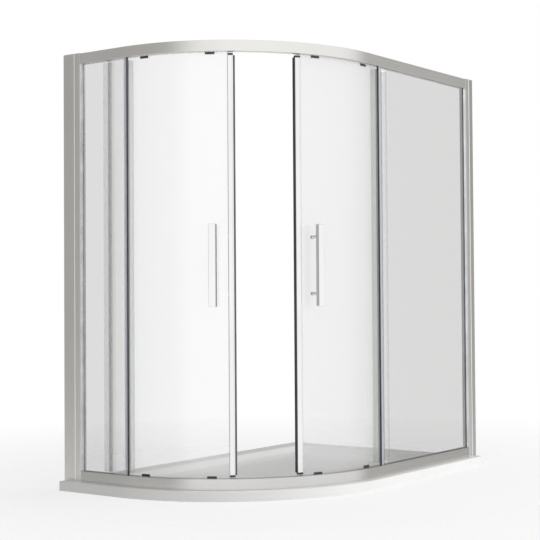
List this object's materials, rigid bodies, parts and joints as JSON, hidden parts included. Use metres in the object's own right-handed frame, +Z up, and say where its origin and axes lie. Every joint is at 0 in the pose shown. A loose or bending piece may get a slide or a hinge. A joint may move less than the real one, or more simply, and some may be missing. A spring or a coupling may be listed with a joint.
{
  "type": "quadrant shower enclosure",
  "caption": "Offset quadrant shower enclosure with curved sliding glass doors on rollers, fixed side panes, wall channels and a slim tray.",
  "frame": {"origin": "middle of the outer box on the tray's underside", "axes": "+Z up, +X along the long wall towards the room corner, +Y along the short wall towards the room corner; the curved doors face -X -Y"},
  "size_m": [1.74, 1.14, 1.892],
  "materials": {
    "tray": "gloss white cast resin",
    "glass": "clear toughened",
    "aluminium": "satin silver",
    "chrome": "polished",
    "rubber": "dark soft",
    "clear_seal": "translucent flexible",
    "nylon": "dark moulded",
    "steel": "plain stainless"
  },
  "bodies": {
    "root": {"shower_tray": "tray", "waste_flange": "chrome", "wall_channel_left": "aluminium", "wall_channel_right": "aluminium", "panel_profile_left": "aluminium", "panel_profile_right": "aluminium", "post_caps": "aluminium", "profile_screws": "steel", "screw_caps": "aluminium", "top_rail": "aluminium", "bottom_rail": "aluminium", "rail_end_blocks": "nylon", "rail_end_screws": "steel", "door_stops": "rubber", "fixed_glass_left": "glass", "fixed_glass_right": "glass", "glazing_gasket_left": "rubber", "glazing_gasket_right": "rubber", "pane_seal_left": "clear_seal", "pane_seal_right": "clear_seal"},
    "waste_cover": {"waste_cover": "chrome"},
    "door_left": {"door_glass_left": "glass", "door_stile_left": "chrome", "stile_caps_left": "nylon", "magnetic_seal_left": "rubber", "trailing_seal_left": "clear_seal", "handle_bar_left": "chrome", "handle_posts_left": "chrome", "handle_fixings_left": "chrome", "carriers_left": "nylon", "wheel_axles_left": "steel", "carrier_bolts_left": "chrome"},
    "wheel_left_top_1": {"wheel_left_top_1": "nylon"},
    "wheel_left_top_2": {"wheel_left_top_2": "nylon"},
    "wheel_left_top_3": {"wheel_left_top_3": "nylon"},
    "wheel_left_top_4": {"wheel_left_top_4": "nylon"},
    "wheel_left_low_1": {"wheel_left_low_1": "nylon"},
    "wheel_left_low_2": {"wheel_left_low_2": "nylon"},
    "wheel_left_low_3": {"wheel_left_low_3": "nylon"},
    "wheel_left_low_4": {"wheel_left_low_4": "nylon"},
    "door_right": {"door_glass_right": "glass", "door_stile_right": "chrome", "stile_caps_right": "nylon", "magnetic_seal_right": "rubber", "trailing_seal_right": "clear_seal", "handle_bar_right": "chrome", "handle_posts_right": "chrome", "handle_fixings_right": "chrome", "carriers_right": "nylon", "wheel_axles_right": "steel", "carrier_bolts_right": "chrome"},
    "wheel_right_top_1": {"wheel_right_top_1": "nylon"},
    "wheel_right_top_2": {"wheel_right_top_2": "nylon"},
    "wheel_right_top_3": {"wheel_right_top_3": "nylon"},
    "wheel_right_top_4": {"wheel_right_top_4": "nylon"},
    "wheel_right_low_1": {"wheel_right_low_1": "nylon"},
    "wheel_right_low_2": {"wheel_right_low_2": "nylon"},
    "wheel_right_low_3": {"wheel_right_low_3": "nylon"},
    "wheel_right_low_4": {"wheel_right_low_4": "nylon"}
  },
  "joints": [
    {"name": "waste_cover_lift", "type": "slide", "parent": "root", "child": "waste_cover", "axis": [0, 0, 1], "range_m": [0, 0.06]},
    {"name": "door_left_roll", "type": "hinge", "parent": "root", "child": "door_left", "pos_m": [-0.08, 0.22, 0.965], "axis": [0, 0, -1], "range_deg": [-11, 12]},
    {"name": "wheel_left_top_1_spin", "type": "hinge", "parent": "door_left", "child": "wheel_left_top_1", "pos_m": [-0.69664, -0.16791, 1.8578], "axis": [-0.8464, -0.5325, 0], "range_deg": [-732, 798]},
    {"name": "wheel_left_top_2_spin", "type": "hinge", "parent": "door_left", "child": "wheel_left_top_2", "pos_m": [-0.71699, -0.13348, 1.8578], "axis": [-0.8744, -0.4852, 0], "range_deg": [-732, 798]},
    {"name": "wheel_left_top_3_spin", "type": "hinge", "parent": "door_left", "child": "wheel_left_top_3", "pos_m": [-0.80073, 0.11392, 1.8578], "axis": [-0.9893, -0.1456, 0], "range_deg": [-732, 798]},
    {"name": "wheel_left_top_4_spin", "type": "hinge", "parent": "door_left", "child": "wheel_left_top_4", "pos_m": [-0.80547, 0.15363, 1.8578], "axis": [-0.9958, -0.0911, 0], "range_deg": [-732, 798]},
    {"name": "wheel_left_low_1_spin", "type": "hinge", "parent": "door_left", "child": "wheel_left_low_1", "pos_m": [-0.69664, -0.16791, 0.0722], "axis": [-0.8464, -0.5325, 0], "range_deg": [-798, 732]},
    {"name": "wheel_left_low_2_spin", "type": "hinge", "parent": "door_left", "child": "wheel_left_low_2", "pos_m": [-0.71699, -0.13348, 0.0722], "axis": [-0.8744, -0.4852, 0], "range_deg": [-798, 732]},
    {"name": "wheel_left_low_3_spin", "type": "hinge", "parent": "door_left", "child": "wheel_left_low_3", "pos_m": [-0.80073, 0.11392, 0.0722], "axis": [-0.9893, -0.1456, 0], "range_deg": [-798, 732]},
    {"name": "wheel_left_low_4_spin", "type": "hinge", "parent": "door_left", "child": "wheel_left_low_4", "pos_m": [-0.80547, 0.15363, 0.0722], "axis": [-0.9958, -0.0911, 0], "range_deg": [-798, 732]},
    {"name": "door_right_roll", "type": "hinge", "parent": "root", "child": "door_right", "pos_m": [-0.08, 0.22, 0.965], "axis": [0, 0, 1], "range_deg": [-9, 4]},
    {"name": "wheel_right_top_1_spin", "type": "hinge", "parent": "door_right", "child": "wheel_right_top_1", "pos_m": [-0.37832, -0.44462, 1.8578], "axis": [-0.4095, -0.9123, 0], "range_deg": [-268, 600]},
    {"name": "wheel_right_top_2_spin", "type": "hinge", "parent": "door_right", "child": "wheel_right_top_2", "pos_m": [-0.34139, -0.45999, 1.8578], "axis": [-0.3588, -0.9334, 0], "range_deg": [-268, 600]},
    {"name": "wheel_right_top_3_spin", "type": "hinge", "parent": "door_right", "child": "wheel_right_top_3", "pos_m": [-0.08474, -0.50848, 1.8578], "axis": [-0.0065, -1, 0], "range_deg": [-268, 600]},
    {"name": "wheel_right_top_4_spin", "type": "hinge", "parent": "door_right", "child": "wheel_right_top_4", "pos_m": [-0.04476, -0.50765, 1.8578], "axis": [0.0484, -0.9988, 0], "range_deg": [-268, 600]},
    {"name": "wheel_right_low_1_spin", "type": "hinge", "parent": "door_right", "child": "wheel_right_low_1", "pos_m": [-0.37832, -0.44462, 0.0722], "axis": [-0.4095, -0.9123, 0], "range_deg": [-600, 268]},
    {"name": "wheel_right_low_2_spin", "type": "hinge", "parent": "door_right", "child": "wheel_right_low_2", "pos_m": [-0.34139, -0.45999, 0.0722], "axis": [-0.3588, -0.9334, 0], "range_deg": [-600, 268]},
    {"name": "wheel_right_low_3_spin", "type": "hinge", "parent": "door_right", "child": "wheel_right_low_3", "pos_m": [-0.08474, -0.50848, 0.0722], "axis": [-0.0065, -1, 0], "range_deg": [-600, 268]},
    {"name": "wheel_right_low_4_spin", "type": "hinge", "parent": "door_right", "child": "wheel_right_low_4", "pos_m": [-0.04476, -0.50765, 0.0722], "axis": [0.0484, -0.9988, 0], "range_deg": [-600, 268]}
  ],
  "couplings": [
    {"joint": "wheel_left_top_1_spin", "follows": "door_left_roll", "ratio": 66.227},
    {"joint": "wheel_left_top_2_spin", "follows": "door_left_roll", "ratio": 66.227},
    {"joint": "wheel_left_top_3_spin", "follows": "door_left_roll", "ratio": 66.227},
    {"joint": "wheel_left_top_4_spin", "follows": "door_left_roll", "ratio": 66.227},
    {"joint": "wheel_left_low_1_spin", "follows": "door_left_roll", "ratio": -66.227},
    {"joint": "wheel_left_low_2_spin", "follows": "door_left_roll", "ratio": -66.227},
    {"joint": "wheel_left_low_3_spin", "follows": "door_left_roll", "ratio": -66.227},
    {"joint": "wheel_left_low_4_spin", "follows": "door_left_roll", "ratio": -66.227},
    {"joint": "wheel_right_top_1_spin", "follows": "door_right_roll", "ratio": -66.227},
    {"joint": "wheel_right_top_2_spin", "follows": "door_right_roll", "ratio": -66.227},
    {"joint": "wheel_right_top_3_spin", "follows": "door_right_roll", "ratio": -66.227},
    {"joint": "wheel_right_top_4_spin", "follows": "door_right_roll", "ratio": -66.227},
    {"joint": "wheel_right_low_1_spin", "follows": "door_right_roll", "ratio": 66.227},
    {"joint": "wheel_right_low_2_spin", "follows": "door_right_roll", "ratio": 66.227},
    {"joint": "wheel_right_low_3_spin", "follows": "door_right_roll", "ratio": 66.227},
    {"joint": "wheel_right_low_4_spin", "follows": "door_right_roll", "ratio": 66.227}
  ]
}
